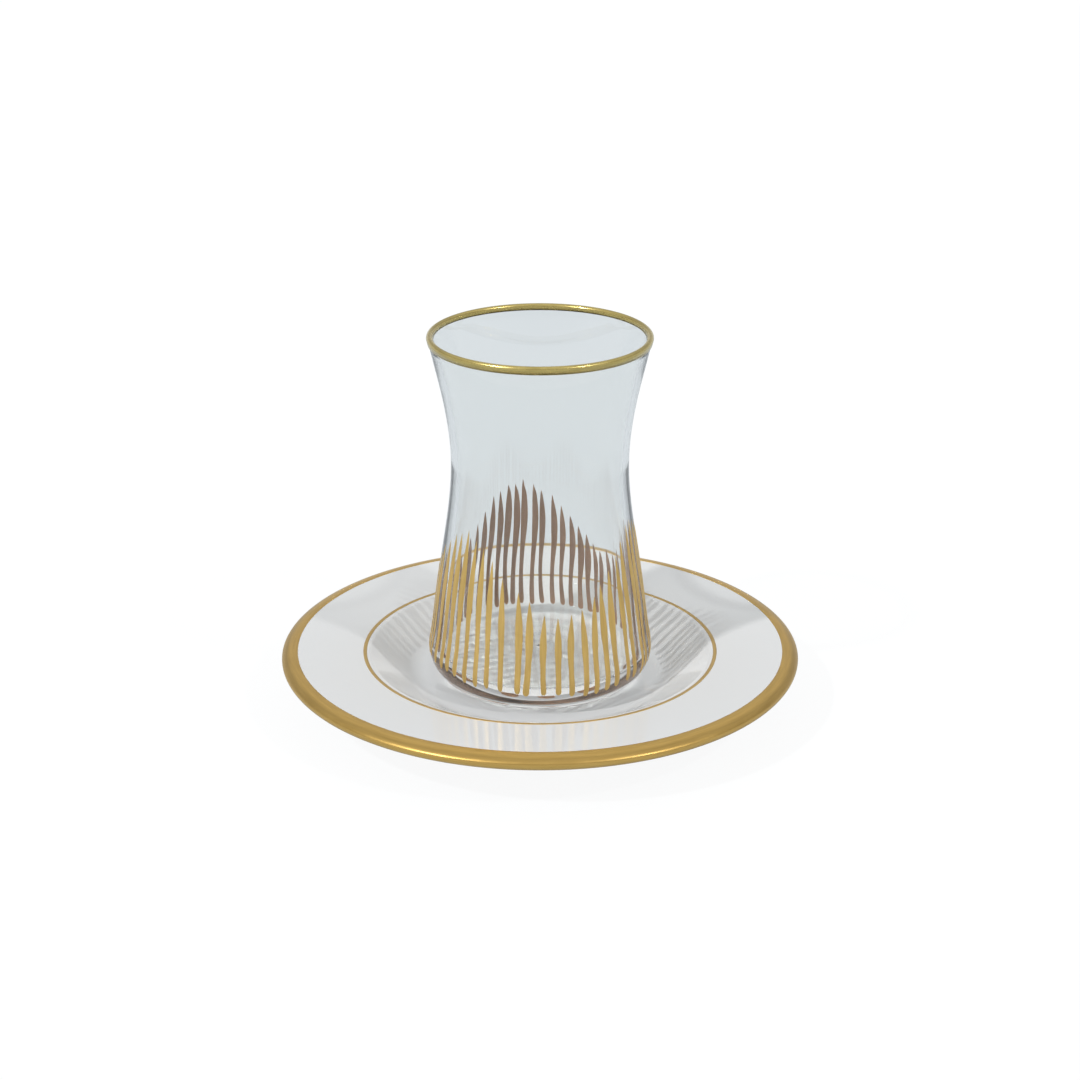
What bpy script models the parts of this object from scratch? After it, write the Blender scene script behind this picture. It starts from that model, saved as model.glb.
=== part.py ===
"""A waisted tea glass with a gilded lip and gilded strokes, standing in the well of its porcelain saucer.

Metres, +Z up. The origin is on the table, under the middle of the saucer's foot ring.
"""
import math
import random

import bmesh
import bpy
import numpy as np

# Sizes of the saucer, heights above the table
SAUCER_RADIUS = 0.0711
SAUCER_HEIGHT = 0.0160
WELL_FLOOR_HEIGHT = 0.00725
WELL_FLOOR_RADIUS = 0.0345
WELL_BEND = 0.0100
WELL_EDGE_RADIUS = 0.0470
WELL_EDGE_HEIGHT = 0.01455
WELL_SHOULDER = 0.0018
RIM_CREST_RADIUS = 0.0667
RIM_WIDEST_HEIGHT = 0.0142
RIM_UNDER_HEIGHT = 0.0117
RIM_UNDER_TURN = 62.0
FLANGE_THICKNESS = 0.0037
FOOT_RING_INNER = 0.0300
FOOT_RING_OUTER = 0.0330
FOOT_RING_DRAFT = 0.0010
FOOT_RING_BEVEL = 0.0004
FOOT_HOLLOW_HEIGHT = 0.0029
UNDERSIDE_HEIGHT = 0.0044

# Sizes of the glass, heights above its own foot
GLASS_HEIGHT = 0.0971
GLASS_FOOT_RADIUS = 0.0233
BELLY_HEIGHT = 0.0085
BELLY_RADIUS = 0.03055
WAIST_HEIGHT = 0.0617
WAIST_RADIUS = 0.02387
LIP_HEIGHT = 0.0967
LIP_RADIUS = 0.0299
WALL_STATIONS = (
    (BELLY_HEIGHT, BELLY_RADIUS),
    (0.0123, 0.03007),
    (0.0243, 0.02844),
    (0.0383, 0.02634),
    (0.0503, 0.02460),
    (WAIST_HEIGHT, WAIST_RADIUS),
    (0.0781, 0.02555),
    (LIP_HEIGHT, LIP_RADIUS),
)
LIP_WALL = 0.0017
FLOOR_WALL = 0.0037
INNER_FLOOR_HEIGHT = 0.0070
INNER_FLOOR_FILLET = 0.0013

# Gilding. It lies in a shallow rebate, so that the outer form stays flush
GAP = 0.0003
GILDING_THICKNESS = 0.00025
REBATE = GAP + GILDING_THICKNESS
LIP_BAND_OUTSIDE = 0.0011
LIP_BAND_INSIDE = 0.0008
RING_LINE_RADIUS = 0.0483
RING_LINE_WIDTH = 0.0010

# Painted strokes round the lower half of the glass
STROKE_COUNT = 55
STROKE_RELIEF = 0.0003
STROKE_ROOT = 0.0006
STROKE_CREST_ANGLES = (-166.0, -51.0, 74.0, 194.0)
STROKE_TOP_MEAN = 0.0378
STROKE_TOP_SWING = 0.0098
STROKE_BOTTOM_MEAN = 0.0060
STROKE_BOTTOM_SWING = 0.0012
STROKE_PHASE = 1.35
STROKE_CROWDING = 0.094
STROKE_ANGLE_SEED = 26510
STROKE_SHAPE_SEED = 8
STROKE_HALF_WIDTHS = (0.00088, 0.00117)
STROKE_TIP_JITTER = 0.0009
STROKE_FOOT_JITTER = 0.0006
STROKE_SPACING_JITTER = 1.2
STROKE_LEAN = 1.6
STROKE_BOW = 0.8
STROKE_SWAY = 0.9
ROUND_FOOT_SHARE = 0.05
WAIST_SHARE = 0.33
WAIST_WIDTH = 0.72
WAIST_SWING = 0.08
FOOT_WIDTH = 0.80
BELLY_SHARE = 0.65
BELLY_SWING = 0.07
TIP_POWER = 0.8
BLUNT_END = 0.12
STROKE_STATIONS = (0.0, ROUND_FOOT_SHARE, WAIST_SHARE, BELLY_SHARE, 0.88, 1.0)
STROKE_EDGE_SHARE = 0.8
STROKE_END_SHARE = 0.6

# Facets round the turned pieces
GLASS_STEPS = 48
SAUCER_STEPS = 54
RIM_POINTS = 4
LIP_POINTS = 5

GLASS_BASE = WELL_FLOOR_HEIGHT + GAP


def smooth_curve(stations, at):
    """Cubic spline through the stations, level at the first one and free at the last."""
    x, y = np.array(stations).T
    step = np.diff(x)
    rise = np.diff(y) / step
    matrix = np.zeros((len(x), len(x)))
    target = np.zeros(len(x))
    matrix[0, 0], matrix[0, 1] = 2.0 * step[0], step[0]
    target[0] = 6.0 * rise[0]
    matrix[-1, -1] = 1.0
    for i in range(1, len(x) - 1):
        matrix[i, i - 1:i + 2] = step[i - 1], 2.0 * (step[i - 1] + step[i]), step[i]
        target[i] = 6.0 * (rise[i] - rise[i - 1])
    bend = np.linalg.solve(matrix, target)
    i = np.clip(np.searchsorted(x, at) - 1, 0, len(step) - 1)
    before, after = at - x[i], x[i + 1] - at
    cubic = (bend[i] * after ** 3 + bend[i + 1] * before ** 3) / (6.0 * step[i])
    left = (y[i] / step[i] - bend[i] * step[i] / 6.0) * after
    right = (y[i + 1] / step[i] - bend[i + 1] * step[i] / 6.0) * before
    return cubic + left + right


def outer_radius(height):
    """Radius of the glass's outer face: a rounded corner up to the belly, then the waisted wall."""
    height = np.asarray(height, dtype=float)
    drop = np.clip((BELLY_HEIGHT - height) / BELLY_HEIGHT, 0.0, 1.0)
    corner = GLASS_FOOT_RADIUS + (BELLY_RADIUS - GLASS_FOOT_RADIUS) * np.sqrt(1.0 - drop ** 2)
    wall = smooth_curve(WALL_STATIONS, np.maximum(height, BELLY_HEIGHT))
    return np.where(height < BELLY_HEIGHT, corner, wall)


def wall_thickness(height):
    """The wall is even from the lip to the waist and thickens from there to the floor."""
    share = np.clip((WAIST_HEIGHT - height) / (WAIST_HEIGHT - INNER_FLOOR_HEIGHT), 0.0, 1.0)
    return LIP_WALL + (FLOOR_WALL - LIP_WALL) * share


def arc(centre, radii, start, end, count):
    """Points of an elliptical arc, angles in degrees from +X towards +Z."""
    turn = np.radians(np.linspace(start, end, count))
    return np.column_stack((centre[0] + radii[0] * np.cos(turn), centre[1] + radii[1] * np.sin(turn)))


def rounded(corner, before, after, radius, count):
    """Arc of the given radius that rounds a corner between two neighbouring points."""
    corner, before, after = (np.array(point, dtype=float) for point in (corner, before, after))
    way_in = (before - corner) / np.linalg.norm(before - corner)
    way_out = (after - corner) / np.linalg.norm(after - corner)
    half_angle = math.acos(float(np.dot(way_in, way_out))) / 2.0
    reach = radius / math.tan(half_angle)
    bisector = (way_in + way_out) / np.linalg.norm(way_in + way_out)
    centre = corner + bisector * radius / math.sin(half_angle)
    spokes = [corner + way_in * reach - centre, corner + way_out * reach - centre]
    share = np.linspace(0.0, 1.0, count)[:, None]
    fan = spokes[0] * (1.0 - share) + spokes[1] * share
    return centre + fan * radius / np.linalg.norm(fan, axis=1)[:, None]


def turned(name, outline, steps, collection, closed=False):
    """Turns an outline, which runs down its outer side, about +Z into one closed body."""
    mesh = bpy.data.meshes.new(name)
    points = [(float(r), 0.0, float(z)) for r, z in outline]
    edges = [(i, i + 1) for i in range(len(points) - 1)]
    if closed:
        edges.append((len(points) - 1, 0))
    mesh.from_pydata(points, edges, [])
    piece = bpy.data.objects.new(name, mesh)
    collection.objects.link(piece)
    screw = piece.modifiers.new("turn", "SCREW")
    screw.axis = "Z"
    screw.angle = math.tau
    screw.steps = steps
    screw.render_steps = steps
    screw.use_merge_vertices = True
    screw.merge_threshold = 0.00001
    screw.use_smooth_shade = True
    return piece


def finish(piece, name, colour, roughness, metallic, transmission=0.0):
    """Gives a piece its own Principled material."""
    material = bpy.data.materials.new(name)
    material.use_nodes = True
    shader = material.node_tree.nodes["Principled BSDF"]
    shader.inputs["Base Color"].default_value = (*colour, 1.0)
    shader.inputs["Roughness"].default_value = roughness
    shader.inputs["Metallic"].default_value = metallic
    shader.inputs["Transmission Weight"].default_value = transmission
    shader.inputs["IOR"].default_value = 1.5
    piece.data.materials.clear()
    piece.data.materials.append(material)


def lip_frame():
    """Centre of the lip's rounding, and the wall's two directions there: outwards and upwards."""
    slope = float(outer_radius(LIP_HEIGHT) - outer_radius(LIP_HEIGHT - 0.002)) / 0.002
    along = np.array((slope, 1.0)) / math.hypot(slope, 1.0)
    across = np.array((along[1], -along[0]))
    half = LIP_WALL / 2.0
    centre = np.array((LIP_RADIUS - half, GLASS_BASE + GLASS_HEIGHT - half))
    return centre, across, along


def lip_section(depth, inside, outside, count):
    """Points over the lip, from its inner face to its outer one, at a depth below the surface."""
    centre, across, along = lip_frame()
    half = LIP_WALL / 2.0 - depth
    turn = np.radians(np.linspace(180.0, 0.0, count))
    local = np.column_stack((half * np.cos(turn), half * np.sin(turn)))
    local = np.vstack(((-half, -inside), local, (half, -outside)))
    return centre + local[:, :1] * across + local[:, 1:] * along


def glass_outline():
    """Inner floor, inner wall, lip, outer wall, rounded corner and foot of the glass."""
    floor = GLASS_BASE + INNER_FLOOR_HEIGHT
    top_inside = LIP_HEIGHT - LIP_BAND_INSIDE - LIP_WALL
    top_outside = LIP_HEIGHT - LIP_BAND_OUTSIDE - LIP_WALL
    inner_heights = np.linspace(INNER_FLOOR_HEIGHT, top_inside, 8)
    inner = np.column_stack((outer_radius(inner_heights) - wall_thickness(inner_heights),
                             GLASS_BASE + inner_heights))
    fillet = rounded(inner[0], (0.0, floor), inner[1], INNER_FLOOR_FILLET, 4)
    tongue = lip_section(REBATE, LIP_BAND_INSIDE + GAP, LIP_BAND_OUTSIDE + GAP, 4)
    ledge = lip_section(0.0, LIP_BAND_INSIDE + GAP, LIP_BAND_OUTSIDE + GAP, 2)
    outer_heights = np.linspace(top_outside, BELLY_HEIGHT, 13)
    outer = np.column_stack((outer_radius(outer_heights), GLASS_BASE + outer_heights))
    corner_radii = (BELLY_RADIUS - GLASS_FOOT_RADIUS, BELLY_HEIGHT)
    foot = arc((GLASS_FOOT_RADIUS, GLASS_BASE + BELLY_HEIGHT), corner_radii, 0.0, -90.0, 6)[1:]
    return np.vstack(((0.0, floor), fillet, inner[1:], ledge[:1], tongue, ledge[-1:], outer,
                      foot, (0.0, GLASS_BASE)))


def stroke_angles():
    """Angles of the strokes from the front towards +X, closer together at the back."""
    draw = random.Random(STROKE_ANGLE_SEED)
    angles = []
    for i in range(STROKE_COUNT):
        even = math.tau * i / STROKE_COUNT
        hand = math.radians(draw.uniform(-STROKE_SPACING_JITTER, STROKE_SPACING_JITTER))
        angles.append(even + math.radians(STROKE_PHASE) + STROKE_CROWDING * math.sin(even) + hand)
    return angles


def stroke_top(angle):
    """Height of a stroke's tip: a wave with its crests at the crest angles."""
    first = STROKE_CREST_ANGLES[0]
    degrees = (math.degrees(angle) - first) % 360.0 + first
    for low, high in zip(STROKE_CREST_ANGLES, STROKE_CREST_ANGLES[1:]):
        if low <= degrees <= high:
            phase = math.tau * (degrees - low) / (high - low)
    return STROKE_TOP_MEAN + STROKE_TOP_SWING * math.cos(phase)


def stroke_half_width(share, widest, angle):
    """Half the width at a share of the length: fuller at the front of the glass, slimmer at the back."""
    waist = WAIST_WIDTH + WAIST_SWING * math.cos(angle)
    belly = BELLY_SHARE - BELLY_SWING * math.cos(angle)
    foot = math.sqrt(1.0 - max(0.0, 1.0 - share / ROUND_FOOT_SHARE) ** 2)
    rise = min(1.0, max(0.0, (share - WAIST_SHARE) / (belly - WAIST_SHARE)))
    fall = max(0.0, 1.0 - share / WAIST_SHARE)
    body = waist + (1.0 - waist) * rise ** 2 * (3.0 - 2.0 * rise)
    body += (FOOT_WIDTH - waist) * fall ** 2 * (3.0 - 2.0 * fall)
    tip = math.sin(min(1.0, (1.0 - share) / (1.0 - belly)) * math.pi / 2.0) ** TIP_POWER
    return widest * max(BLUNT_END, foot * body * tip)


def stroke(name, angle, draw, collection):
    """One brush stroke: a thin bar that follows the wall, rooted in it and proud of it."""
    top = stroke_top(angle) + draw.uniform(-STROKE_TIP_JITTER, STROKE_TIP_JITTER)
    bottom = STROKE_BOTTOM_MEAN - STROKE_BOTTOM_SWING * math.sin(angle)
    bottom += draw.uniform(-STROKE_FOOT_JITTER, STROKE_FOOT_JITTER)
    widest = draw.uniform(*STROKE_HALF_WIDTHS)
    lean = math.radians(draw.uniform(-STROKE_LEAN, STROKE_LEAN))
    bow = math.radians(draw.uniform(-STROKE_BOW, STROKE_BOW))
    shape = bmesh.new()
    rings = []
    for share in STROKE_STATIONS:
        height = bottom + (top - bottom) * share
        radius = float(outer_radius(height))
        half = stroke_half_width(share, widest, angle) / radius
        sway = math.radians(STROKE_SWAY) * math.sin(math.tau * share) * (1.0 - math.cos(angle)) / 2.0
        middle = angle + lean * (share - 0.5) + bow * math.sin(math.pi * share) + sway
        relief = STROKE_RELIEF * (STROKE_END_SHARE if share in (0.0, 1.0) else 1.0)
        edge = half * STROKE_EDGE_SHARE
        corners = ((-half, -STROKE_ROOT), (half, -STROKE_ROOT), (edge, relief), (-edge, relief))
        ring = []
        for side, proud in corners:
            reach = radius + proud
            turn = middle + side
            point = (reach * math.sin(turn), -reach * math.cos(turn), GLASS_BASE + height)
            ring.append(shape.verts.new(point))
        rings.append(ring)
    for low, high in zip(rings, rings[1:]):
        for i in range(4):
            j = (i + 1) % 4
            shape.faces.new((low[i], low[j], high[j], high[i]))
    shape.faces.new(rings[0][::-1])
    shape.faces.new(rings[-1])
    bmesh.ops.recalc_face_normals(shape, faces=shape.faces)
    mesh = bpy.data.meshes.new(name)
    shape.to_mesh(mesh)
    shape.free()
    collection.objects.link(bpy.data.objects.new(name, mesh))


def fuse_strokes(glass, strokes):
    """Joins the strokes to the glass as low relief and leaves the result as the glass's own mesh."""
    draw = random.Random(STROKE_SHAPE_SEED)
    for i, angle in enumerate(stroke_angles()):
        stroke(f"stroke_{i:02d}", angle, draw, strokes)
    union = glass.modifiers.new("fuse strokes", "BOOLEAN")
    union.operation = "UNION"
    union.operand_type = "COLLECTION"
    union.collection = strokes
    union.solver = "EXACT"
    view = bpy.context.view_layer
    view.update()
    fused = bpy.data.meshes.new_from_object(glass.evaluated_get(view.depsgraph))
    glass.modifiers.clear()
    glass.data = fused
    for piece in list(strokes.objects):
        bpy.data.objects.remove(piece)


def make_glass(collection, strokes):
    """Clear glass body with the brush strokes on its lower half."""
    glass = turned("glass", glass_outline(), GLASS_STEPS, collection)
    fuse_strokes(glass, strokes)
    glass.data.set_sharp_from_angle(angle=math.radians(35.0))
    finish(glass, "clear glass", (0.86, 0.90, 0.92), 0.03, 0.0, 0.9)


def make_lip_gilding(collection):
    """Thin gilded band folded over the lip of the glass."""
    outer = lip_section(0.0, LIP_BAND_INSIDE, LIP_BAND_OUTSIDE, LIP_POINTS)
    inner = lip_section(GILDING_THICKNESS, LIP_BAND_INSIDE, LIP_BAND_OUTSIDE, LIP_POINTS)
    ring = turned("lip_gilding", np.vstack((outer, inner[::-1])), GLASS_STEPS, collection, closed=True)
    finish(ring, "lip gold", (0.72, 0.52, 0.16), 0.18, 1.0)


def rim_section(depth, count):
    """Points round the saucer's rolled rim, from its crest to its underside, at a depth inside it."""
    widest = (RIM_CREST_RADIUS, RIM_WIDEST_HEIGHT)
    reach = SAUCER_RADIUS - RIM_CREST_RADIUS - depth
    above = arc(widest, (reach, SAUCER_HEIGHT - RIM_WIDEST_HEIGHT - depth), 90.0, 0.0, count)
    drop = RIM_WIDEST_HEIGHT - RIM_UNDER_HEIGHT - depth
    below = arc(widest, (reach, drop), 0.0, -RIM_UNDER_TURN, count)[1:]
    return np.vstack((above, below))


def ring_line_seat(depth, half_width):
    """Two points across the ring line, on the shoulder of the well, at a depth below the glaze."""
    slope = (SAUCER_HEIGHT - WELL_EDGE_HEIGHT) / (RIM_CREST_RADIUS - WELL_EDGE_RADIUS)
    height = WELL_EDGE_HEIGHT + slope * (RING_LINE_RADIUS - WELL_EDGE_RADIUS)
    across = np.array((1.0, slope)) / math.hypot(1.0, slope)
    middle = np.array((RING_LINE_RADIUS, height)) - depth * np.array((-across[1], across[0]))
    return np.vstack((middle - half_width * across, middle + half_width * across))


def saucer_outline():
    """Well, shoulder, flange, rolled rim, underside and foot ring of the saucer."""
    floor_middle = (0.0, WELL_FLOOR_HEIGHT)
    floor_edge = (WELL_FLOOR_RADIUS, WELL_FLOOR_HEIGHT)
    well_edge = (WELL_EDGE_RADIUS, WELL_EDGE_HEIGHT)
    crest = (RIM_CREST_RADIUS, SAUCER_HEIGHT)
    bend = rounded(floor_edge, floor_middle, well_edge, WELL_BEND, 4)
    shoulder = rounded(well_edge, floor_edge, crest, WELL_SHOULDER, 2)
    groove_half = RING_LINE_WIDTH / 2.0 + GAP
    groove_brim = ring_line_seat(0.0, groove_half)
    groove_bed = ring_line_seat(REBATE, groove_half)
    rebate_start = (RIM_CREST_RADIUS - GAP, SAUCER_HEIGHT)
    rebate_step = (RIM_CREST_RADIUS - GAP, SAUCER_HEIGHT - REBATE)
    rebate = rim_section(REBATE, RIM_POINTS)[1:]
    rebate_end = rim_section(0.0, RIM_POINTS)[-1] - (GAP, GAP / 2.0)
    flange_under = (RIM_CREST_RADIUS - FLANGE_THICKNESS, SAUCER_HEIGHT - FLANGE_THICKNESS)
    well_under = (WELL_EDGE_RADIUS + FLANGE_THICKNESS / 2.0, WELL_EDGE_HEIGHT - FLANGE_THICKNESS)
    foot = (
        (FOOT_RING_OUTER + FOOT_RING_DRAFT, UNDERSIDE_HEIGHT),
        (FOOT_RING_OUTER, FOOT_RING_BEVEL),
        (FOOT_RING_OUTER - FOOT_RING_BEVEL, 0.0),
        (FOOT_RING_INNER + FOOT_RING_BEVEL, 0.0),
        (FOOT_RING_INNER, FOOT_RING_BEVEL),
        (FOOT_RING_INNER - FOOT_RING_DRAFT, FOOT_HOLLOW_HEIGHT),
        (0.0, FOOT_HOLLOW_HEIGHT),
    )
    return np.vstack((floor_middle, bend, shoulder, groove_brim[0], groove_bed, groove_brim[1],
                      rebate_start, rebate_step, rebate, rebate_end, flange_under, well_under, foot))


def make_saucer(collection):
    """White glazed porcelain saucer with a well, a flat flange, a rolled rim and a foot ring."""
    saucer = turned("saucer", saucer_outline(), SAUCER_STEPS, collection)
    finish(saucer, "white porcelain", (0.86, 0.87, 0.88), 0.12, 0.0)


def make_saucer_rim_gilding(collection):
    """Wide gilded band rolled over the saucer's rim."""
    outer = rim_section(0.0, RIM_POINTS)
    inner = rim_section(GILDING_THICKNESS, RIM_POINTS)
    section = np.vstack((outer, inner[::-1]))
    band = turned("saucer_rim_gilding", section, SAUCER_STEPS, collection, closed=True)
    finish(band, "rim gold", (0.60, 0.42, 0.15), 0.32, 1.0)


def make_saucer_ring_line(collection):
    """Narrow gilded line round the shoulder of the well."""
    half = RING_LINE_WIDTH / 2.0
    top = ring_line_seat(0.0, half)
    low = ring_line_seat(GILDING_THICKNESS, half)
    line = turned("saucer_ring_line", np.vstack((top, low[::-1])), SAUCER_STEPS, collection, closed=True)
    finish(line, "line gold", (0.60, 0.42, 0.15), 0.35, 1.0)


def main():
    for item in list(bpy.data.objects):
        bpy.data.objects.remove(item)
    parts = bpy.data.collections.new("tea_glass_and_saucer")
    strokes = bpy.data.collections.new("brush_strokes")
    bpy.context.scene.collection.children.link(parts)
    bpy.context.scene.collection.children.link(strokes)
    make_saucer(parts)
    make_saucer_rim_gilding(parts)
    make_saucer_ring_line(parts)
    make_glass(parts, strokes)
    make_lip_gilding(parts)


main()
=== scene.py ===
"""Looks of a waisted tea glass with gilded strokes, empty, in the well of its gilded porcelain saucer.

Metres, +Z up, the front at -Y. Angles round the glass run from the front towards +X.
"""
import math
import random

import bpy
import numpy as np
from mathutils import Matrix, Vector


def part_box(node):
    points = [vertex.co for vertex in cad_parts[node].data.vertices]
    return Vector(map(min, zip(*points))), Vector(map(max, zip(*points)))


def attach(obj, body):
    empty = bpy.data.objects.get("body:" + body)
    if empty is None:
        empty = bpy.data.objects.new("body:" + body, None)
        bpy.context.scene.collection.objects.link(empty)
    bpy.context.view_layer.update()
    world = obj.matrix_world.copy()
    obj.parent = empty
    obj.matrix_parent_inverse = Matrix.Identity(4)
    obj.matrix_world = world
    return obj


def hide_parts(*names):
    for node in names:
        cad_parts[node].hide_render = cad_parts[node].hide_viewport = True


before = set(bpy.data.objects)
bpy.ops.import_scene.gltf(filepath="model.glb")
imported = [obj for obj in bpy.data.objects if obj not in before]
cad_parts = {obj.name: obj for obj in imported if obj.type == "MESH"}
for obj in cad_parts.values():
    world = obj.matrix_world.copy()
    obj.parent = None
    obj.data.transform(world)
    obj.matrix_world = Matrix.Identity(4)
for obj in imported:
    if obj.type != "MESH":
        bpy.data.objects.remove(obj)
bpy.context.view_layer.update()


# The saucer body
# White porcelain with a sunken well, a nearly flat flange, a rolled rim and a foot ring. It is jiggered
# in one piece, dipped in clear glaze and fired, so its gloss is a little uneven.

SAUCER_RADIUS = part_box("saucer_rim_gilding")[1].x
SAUCER_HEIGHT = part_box("saucer_rim_gilding")[1].z
WELL_FLOOR_HEIGHT = 0.00725
WELL_FLOOR_RADIUS = 0.0345
WELL_BEND = 0.0100
WELL_EDGE_RADIUS = 0.0470
WELL_EDGE_HEIGHT = 0.01455
WELL_SHOULDER = 0.0030
RIM_CREST_RADIUS = 0.0667
RIM_WIDEST_HEIGHT = 0.0142
RIM_UNDER_HEIGHT = 0.0117
RIM_UNDER_TURN = 62.0
FLANGE_THICKNESS = 0.0037
FLANGE_UNDER_ROUND = 0.0060
FOOT_RING_INNER = 0.0300
FOOT_RING_OUTER = 0.0330
FOOT_RING_DRAFT = 0.0010
FOOT_RING_ROUND = 0.0006
FOOT_RING_FILLET = 0.0015
FOOT_HOLLOW_HEIGHT = 0.0029
FOOT_HOLLOW_ROUND = 0.0008
UNDERSIDE_HEIGHT = 0.0044
RIM_UNDER_ROUND = 0.0020
GOLD_FILM = 0.00004
RIM_POINTS = 24
UNDERSIDE_POINTS = 8
SAUCER_STEPS = 288
OUTLINE_STEP = 0.0008
ON_AXIS = 1e-9

PORCELAIN_WHITE = (0.668, 0.676, 0.682)
PORCELAIN_CREAM = (0.656, 0.662, 0.662)
GLAZE_ROUGHNESS = 0.035


def arc(centre, radii, start, end, count):
    """Elliptical arc: centre + (radii * cos, radii * sin) at even angles in degrees from +X towards +Z."""
    turn = np.radians(np.linspace(start, end, count))
    return np.column_stack((centre[0] + radii[0] * np.cos(turn), centre[1] + radii[1] * np.sin(turn)))


def rounded(corner, before, after, radius, count):
    """Arc of a radius that touches both lines of a corner: its centre lies on the corner's bisector."""
    corner, before, after = (np.array(point, dtype=float) for point in (corner, before, after))
    way_in = (before - corner) / np.linalg.norm(before - corner)
    way_out = (after - corner) / np.linalg.norm(after - corner)
    half_angle = math.acos(float(np.dot(way_in, way_out))) / 2.0
    reach = radius / math.tan(half_angle)
    bisector = (way_in + way_out) / np.linalg.norm(way_in + way_out)
    centre = corner + bisector * radius / math.sin(half_angle)
    spokes = [corner + way_in * reach - centre, corner + way_out * reach - centre]
    share = np.linspace(0.0, 1.0, count)[:, None]
    fan = spokes[0] * (1.0 - share) + spokes[1] * share
    return centre + fan * radius / np.linalg.norm(fan, axis=1)[:, None]


def rounded_path(corners, radii, count=12):
    """A chain of straight lines whose inner corners are arcs of the given radii."""
    arcs = [rounded(corners[i], corners[i - 1], corners[i + 1], radii[i - 1], count)
            for i in range(1, len(corners) - 1)]
    return np.vstack((corners[0], *arcs, corners[-1]))


def finely(outline, step=OUTLINE_STEP):
    """The outline with each straight stretch divided evenly into steps no longer than the given one."""
    parts = []
    for start, end in zip(outline, outline[1:]):
        count = max(1, math.ceil(np.linalg.norm(end - start) / step))
        parts.append(start + (end - start) * (np.arange(count) / count)[:, None])
    return np.vstack((*parts, outline[-1]))


def fan_map(u_here, u_there, v_corners):
    """Map of the triangles round a pole: u here, here and there, with one v for each corner."""
    u_corners = (u_here, u_here, u_there)
    corners = [np.column_stack((u, np.full(len(u), v))) for u, v in zip(u_corners, v_corners)]
    return np.stack(corners, axis=1).reshape(-1, 2)


def turned(name, outline, steps):
    """Outline (r, z) turned about +Z: (r sin a, -r cos a, z) at even angles a, one vertex per pole.

    The outline runs down its outer side. Its map has u round the axis and v along the outline.
    """
    outline = np.asarray(outline, dtype=float)
    length = np.append(0.0, np.cumsum(np.linalg.norm(np.diff(outline, axis=0), axis=1)))
    along = length / length[-1]
    ring_closed = bool(np.allclose(outline[0], outline[-1]))
    pole_first = outline[0, 0] < ON_AXIS
    pole_last = outline[-1, 0] < ON_AXIS
    open_rows = slice(1 if pole_first else 0, -1 if pole_last or ring_closed else None)
    rows = outline[open_rows]
    angle = np.linspace(0.0, math.tau, steps, endpoint=False)
    grid = np.stack((np.outer(rows[:, 0], np.sin(angle)), -np.outer(rows[:, 0], np.cos(angle)),
                     np.repeat(rows[:, 1:], steps, axis=1)), axis=-1)
    points = grid.reshape(-1, 3)
    here = np.arange(steps)
    there = (here + 1) % steps
    upper = np.arange(len(rows) - 1)[:, None] * steps
    lower = upper + steps
    if ring_closed:
        upper = np.arange(len(rows))[:, None] * steps
        lower = (upper + steps) % (len(rows) * steps)
    faces = np.stack((upper + here, lower + here, lower + there, upper + there), axis=-1).reshape(-1, 4)
    v_rows = along[open_rows]
    v_low = v_rows[1:] if not ring_closed else np.append(v_rows[1:], 1.0)
    v_high = v_rows[:len(v_low)]
    u_here = here / steps
    u_there = (here + 1) / steps
    shape = (len(v_low), steps)
    u_corners = (u_here, u_here, u_there, u_there)
    v_corners = (v_high, v_low, v_low, v_high)
    u = np.stack([np.broadcast_to(corner, shape) for corner in u_corners], axis=-1)
    v = np.stack([np.broadcast_to(corner[:, None], shape) for corner in v_corners], axis=-1)
    all_faces = faces.tolist()
    maps = [np.stack((u, v), axis=-1).reshape(-1, 2)]
    if pole_first:
        all_faces += np.stack((np.full(steps, len(points)), here, there), axis=-1).tolist()
        maps.append(fan_map(u_here, u_there, (along[0], v_rows[0], v_rows[0])))
        points = np.vstack((points, (0.0, 0.0, outline[0, 1])))
    if pole_last:
        last = (len(rows) - 1) * steps
        all_faces += np.stack((last + here, np.full(steps, len(points)), last + there), axis=-1).tolist()
        maps.append(fan_map(u_here, u_there, (v_rows[-1], along[-1], v_rows[-1])))
        points = np.vstack((points, (0.0, 0.0, outline[-1, 1])))
    return smooth_piece(name, points, all_faces, np.vstack(maps))


def smooth_piece(name, points, faces, face_map=None):
    """A smooth mesh object from points and faces, with its map where one is given."""
    mesh = bpy.data.meshes.new(name)
    mesh.from_pydata(points.tolist(), [], faces)
    mesh.polygons.foreach_set("use_smooth", np.ones(len(mesh.polygons), dtype=bool))
    if face_map is not None:
        layer = mesh.uv_layers.new(name="UVMap")
        layer.data.foreach_set("uv", face_map.astype(np.float32).ravel())
    mesh.update()
    piece = bpy.data.objects.new(name, mesh)
    bpy.context.scene.collection.objects.link(piece)
    return piece


def place(piece, slot, *nodes):
    """The piece rides on the one body and stands for the given solids, which it hides; slot is not used."""
    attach(piece, "root")
    for node in nodes:
        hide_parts(node)


def rim_section(depth, count):
    """Quarter-ellipse from the rim's crest to its widest point, then an arc under it, at a depth inside."""
    widest = (RIM_CREST_RADIUS, RIM_WIDEST_HEIGHT)
    reach = SAUCER_RADIUS - RIM_CREST_RADIUS - depth
    above = arc(widest, (reach, SAUCER_HEIGHT - RIM_WIDEST_HEIGHT - depth), 90.0, 0.0, count)
    drop = RIM_WIDEST_HEIGHT - RIM_UNDER_HEIGHT - depth
    below = arc(widest, (reach, drop), 0.0, -RIM_UNDER_TURN, count)[1:]
    return np.vstack((above, below))


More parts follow.
